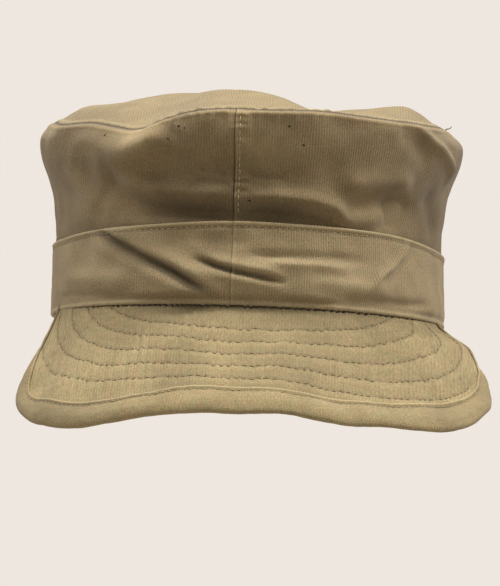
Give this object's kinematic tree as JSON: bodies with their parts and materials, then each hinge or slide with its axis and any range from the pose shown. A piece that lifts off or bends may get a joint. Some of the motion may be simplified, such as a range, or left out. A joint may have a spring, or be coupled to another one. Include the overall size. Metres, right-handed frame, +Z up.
{
  "type": "field cap",
  "caption": "Soft cotton field cap with a seamed flared crown, oval top, separate band, stitched cloth visor and an ear and neck curtain stowed inside.",
  "frame": {"origin": "middle of the head opening, on the plane of the band's lower edge", "axes": "+Z up through the crown, -Y forwards over the visor, +X to the right seen from the front"},
  "size_m": [0.184, 0.2599, 0.1463],
  "materials": {
    "outer_cloth": "matte cotton, fine vertical rib, olive drab",
    "visor_cloth": "matte cotton, sun faded olive",
    "lining_flannel": "brushed cotton flannel",
    "sweatband_cotton": "plain cotton tape",
    "stiffener_board": "sized buckram",
    "thread": "cotton thread",
    "label_cloth": "plain woven label, blank"
  },
  "bodies": {
    "cap": {"crown_top": "outer_cloth", "crown_side_left": "outer_cloth", "crown_side_right": "outer_cloth", "crown_top_seam_tape": "outer_cloth", "crown_front_seam_strip": "outer_cloth", "crown_back_seam_strip": "outer_cloth", "crown_front_seam_stitching": "thread", "crown_back_seam_stitching": "thread", "band_left": "outer_cloth", "band_right": "outer_cloth", "band_stitching": "thread", "sweatband": "sweatband_cotton", "size_label": "label_cloth", "visor_underside": "visor_cloth", "visor_stiffener": "stiffener_board", "visor_top": "visor_cloth", "visor_binding": "visor_cloth", "visor_binding_stitching": "thread", "visor_stitch_row_1": "thread", "visor_stitch_row_2": "thread", "visor_stitch_row_3": "thread", "visor_stitch_row_4": "thread", "visor_stitch_row_5": "thread"},
    "curtain": {"curtain_shell": "outer_cloth", "curtain_lining": "lining_flannel", "curtain_stitching": "thread"}
  },
  "joints": [
    {"name": "curtain_drop", "type": "slide", "parent": "cap", "child": "curtain", "axis": [0, 0, -1], "range_m": [0, 0.055]}
  ]
}
